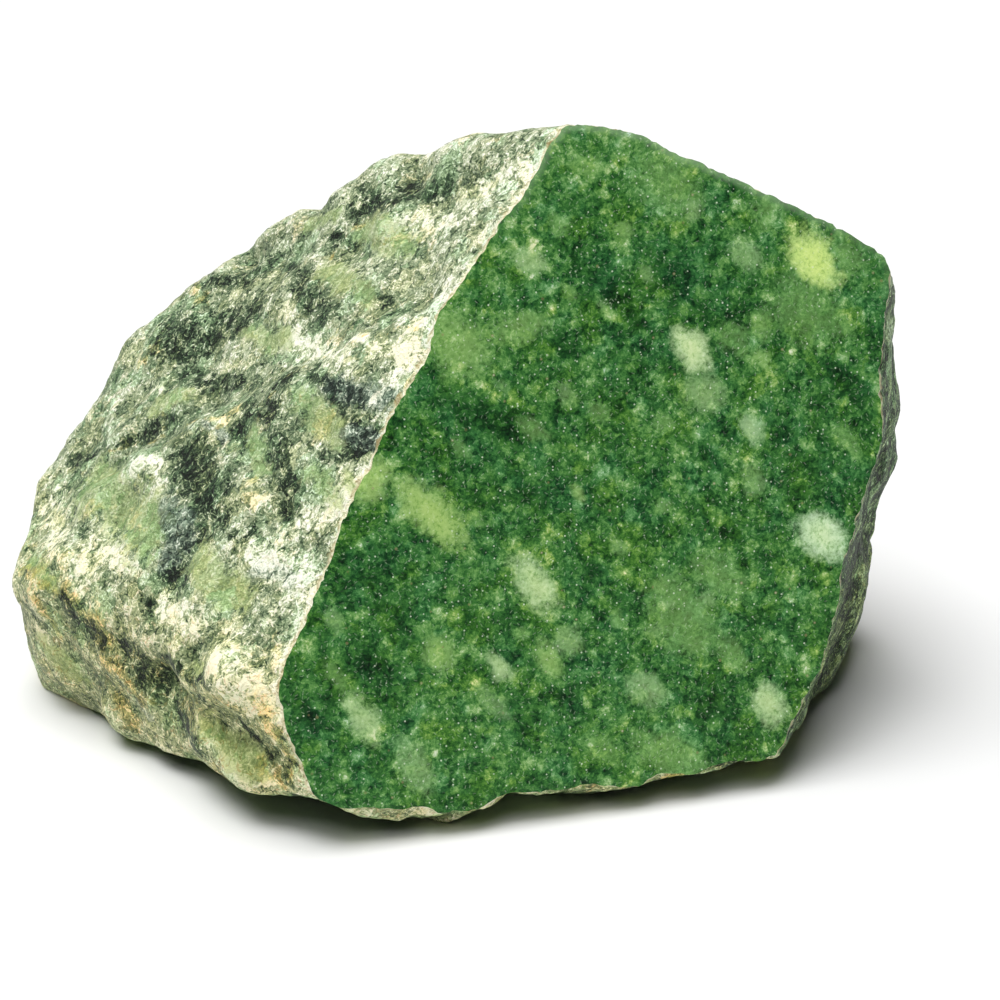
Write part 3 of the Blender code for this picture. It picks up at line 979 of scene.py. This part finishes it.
def sawn_face():
    """The sawn face: pale spots and bright flecks in a clotted, darker ground, with painted glint in the
    flecks and a painted highlight along its upper rim.
    """
    face = Finish("sawn face", 0.18)
    field, strength, shade = face.stored("spots")
    tint = face.output("Attribute", "Vector", attribute_name="tints")
    inward, across, up = face.stored("edge")
    broad = face.noise(7.5, 2.0, 0.5, 5.0) - 0.5
    cloud = face.noise(2.6, 3.0, 0.6, 11.0, warp=0.5) - 0.5
    curd = face.noise(0.85, 3.0, 0.7, 19.0, warp=0.6) - 0.5
    grain = face.noise(0.28, 2.0, 0.7, 27.0, warp=0.4) - 0.5
    blob, cell, _ = face.cells(1.6, 6.0, face.bent(0.9, 0.4))
    cell = cell.parts()
    _, small, _ = face.cells(0.5, 16.0, face.bent(0.4, 0.18))
    gap, chance, _ = face.cells(0.50, 13.0)
    chance = chance.parts()
    # Small pale specks: grains of mica whose glint is painted into their colour.
    speck = gap.step(0.20, 0.10) * chance[0].step(0.25, 1.0)
    bead, drop, _ = face.cells(0.95, 23.0, face.bent(0.5, 0.25, 7.0))
    drop = drop.parts()
    hair, hair_chance = face.hairs(0.50, 0.060, 0.18, 0.5, 41.0)
    hair = hair * hair_chance[0].step(0.15, 0.95)
    # Soft pale clots, of which some are large, lie in a darker ground.
    clot = blob.step(0.72, 0.10) * cell[0].step(0.45, 1.0)
    tone = 0.340 + broad * 0.34 + cloud * 0.50 + curd * 0.66 + grain * 0.80
    light_or_dark = drop[1].step(0.50, 1.0) * 0.24 - drop[2].step(0.55, 1.0) * 0.14
    tone = tone + bead.step(0.75, 0.15) * light_or_dark
    tone = tone + (small.parts()[1] - 0.5) * 0.22 + clot * 0.30
    tone = tone - (shade + curd * 1.4 + grain * 0.8).step(-0.35, 0.8) * 0.18
    top = (up - across * 0.10 + cloud * 8.0).step(9.0, 24.0)
    tone = tone + top * 0.12
    halo = (field + curd * 0.9).step(-0.9, 0.1) * strength
    tone = tone + halo * 0.10 + hair * 0.06
    colour = face.ramp(tone, *SAWN_TONES)
    hue = face.noise(3.0, 2.0, 0.6, 51.0) + (cell[1] - 0.5) * 0.25
    colour = face.tinted(hue.step(0.50, 0.72) * 0.85, colour, SAWN_TINTS["warm"])
    colour = face.tinted(hue.step(0.48, 0.28) * 0.75, colour, SAWN_TINTS["cool"])
    # A spot is palest in its middle and fades into the ground with a ragged edge.
    edge = field + curd * 0.80 + grain * 0.40
    spot = edge.step(-0.45, 0.45) * strength
    flecks = curd * 1.0 + grain * 1.1 + speck * 0.25 + hair * 0.15 + 0.5
    body = face.tinted(1.0, tint, face.ramp(flecks, *SPOT_TONES))
    colour = face.mix(spot * 0.96, colour, body)
    # The specks and fibres are painted pale green; in the specks this is painted glint.
    colour = face.mix((speck * 0.85).most(hair * 0.20), colour, FLECK_GREEN)
    core = (field + grain * 0.8 + curd * 0.8).step(0.15, 0.85) * strength
    colour = face.tinted(core * 0.8, colour, SAWN_TINTS["core"])
    brown = gap.step(0.36, 0.18) * chance[1].step(0.978, 0.988)
    colour = face.mix(brown * 0.50, colour, SPECK_BROWN)
    # Painted highlight: a pale band along the upper and right rim, where the rounded rim catches the
    # light from above.
    rim = (inward + grain * 0.7 + curd * 0.5).step(0.8, 0.0)
    high = up.step(4.0, 20.0) * across.step(-1.0, 8.0)
    colour = face.mix(rim * high * 0.42, colour, RIM_HIGHLIGHT_GREEN)
    # The rim is very slightly rounded over.
    rounded = inward.step(0.0, 0.5)
    height = grain * 0.03 + curd * 0.02 + rounded * 0.035
    roughness = 0.36 + grain * 0.18 - speck * 0.1 + spot * 0.06
    return face.close(colour, roughness, height)


def paper_floor():
    """A floor of matt white paper that reaches far beyond the picture."""
    white = bpy.data.materials.new("white paper")
    white.use_nodes = True
    surface = white.node_tree.nodes["Principled BSDF"]
    surface.inputs["Base Color"].default_value = PAPER_WHITE
    surface.inputs["Roughness"].default_value = 1.0
    surface.inputs["Specular IOR Level"].default_value = 0.0
    mesh = bpy.data.meshes.new("floor")
    corners = [(x * PAPER_REACH, y * PAPER_REACH, 0) for x, y in ((-1, -1), (1, -1), (1, 1), (-1, 1))]
    mesh.from_pydata(corners, [], [(0, 1, 2, 3)])
    mesh.materials.append(white)
    return placed("floor", mesh)


def studio_light():
    """The world's light: bright above and dim along the horizon."""
    world = bpy.data.worlds.new("studio")
    bpy.context.scene.world = world
    world.use_nodes = True
    tree = world.node_tree
    sky = tree.nodes.new("ShaderNodeTexCoord").outputs["Generated"]
    dim, gain, low, high = SKY
    above = Wire(tree, sky).parts()[2].step(low, high)
    join(tree, above * gain + dim, tree.nodes["Background"].inputs["Strength"])


def soft_light(name, source, angle, strength):
    """A broad far light, which lights the floor evenly all over. Its angle softens the shadows."""
    light = bpy.data.lights.new(name, "SUN")
    light.angle, light.energy = math.radians(angle), strength
    item = placed(name, light)
    item.rotation_mode = "QUATERNION"
    item.rotation_quaternion = facing(*source).to_track_quat("Z", "Y")


def photo_camera():
    """The camera that stands in for the photo's."""
    data = bpy.data.cameras.new("camera")
    data.lens, data.sensor_width, data.clip_start = LENS, SENSOR, NEAREST
    camera = placed("camera", data)
    camera.location = (EYE - MIDDLE) * MM
    camera.rotation_mode = "QUATERNION"
    camera.rotation_quaternion = (-BACK).to_track_quat("-Z", "Y")
    bpy.context.scene.camera = camera


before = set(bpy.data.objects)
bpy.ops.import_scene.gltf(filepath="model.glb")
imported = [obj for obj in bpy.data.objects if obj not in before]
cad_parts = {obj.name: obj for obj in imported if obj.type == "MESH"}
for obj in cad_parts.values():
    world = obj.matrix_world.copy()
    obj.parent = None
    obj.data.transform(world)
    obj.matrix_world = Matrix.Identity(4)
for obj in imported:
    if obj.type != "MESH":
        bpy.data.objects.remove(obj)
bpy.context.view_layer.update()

mesh = stone_mesh()
mark_skin(mesh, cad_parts["stone"])
mark_sawn_face(mesh)
mesh.transform(Matrix.Scale(MM, 4) @ Matrix.Translation(-MIDDLE))
mesh.materials.append(rough_skin())
mesh.materials.append(sawn_face())
stone = placed("raw_stone", mesh)
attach(stone, "root")
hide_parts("stone")

# Stage
floor = paper_floor()
studio_light()
for name, light in LIGHTS.items():
    soft_light(name, *light)
photo_camera()
bpy.context.scene.view_settings.view_transform = "Standard"
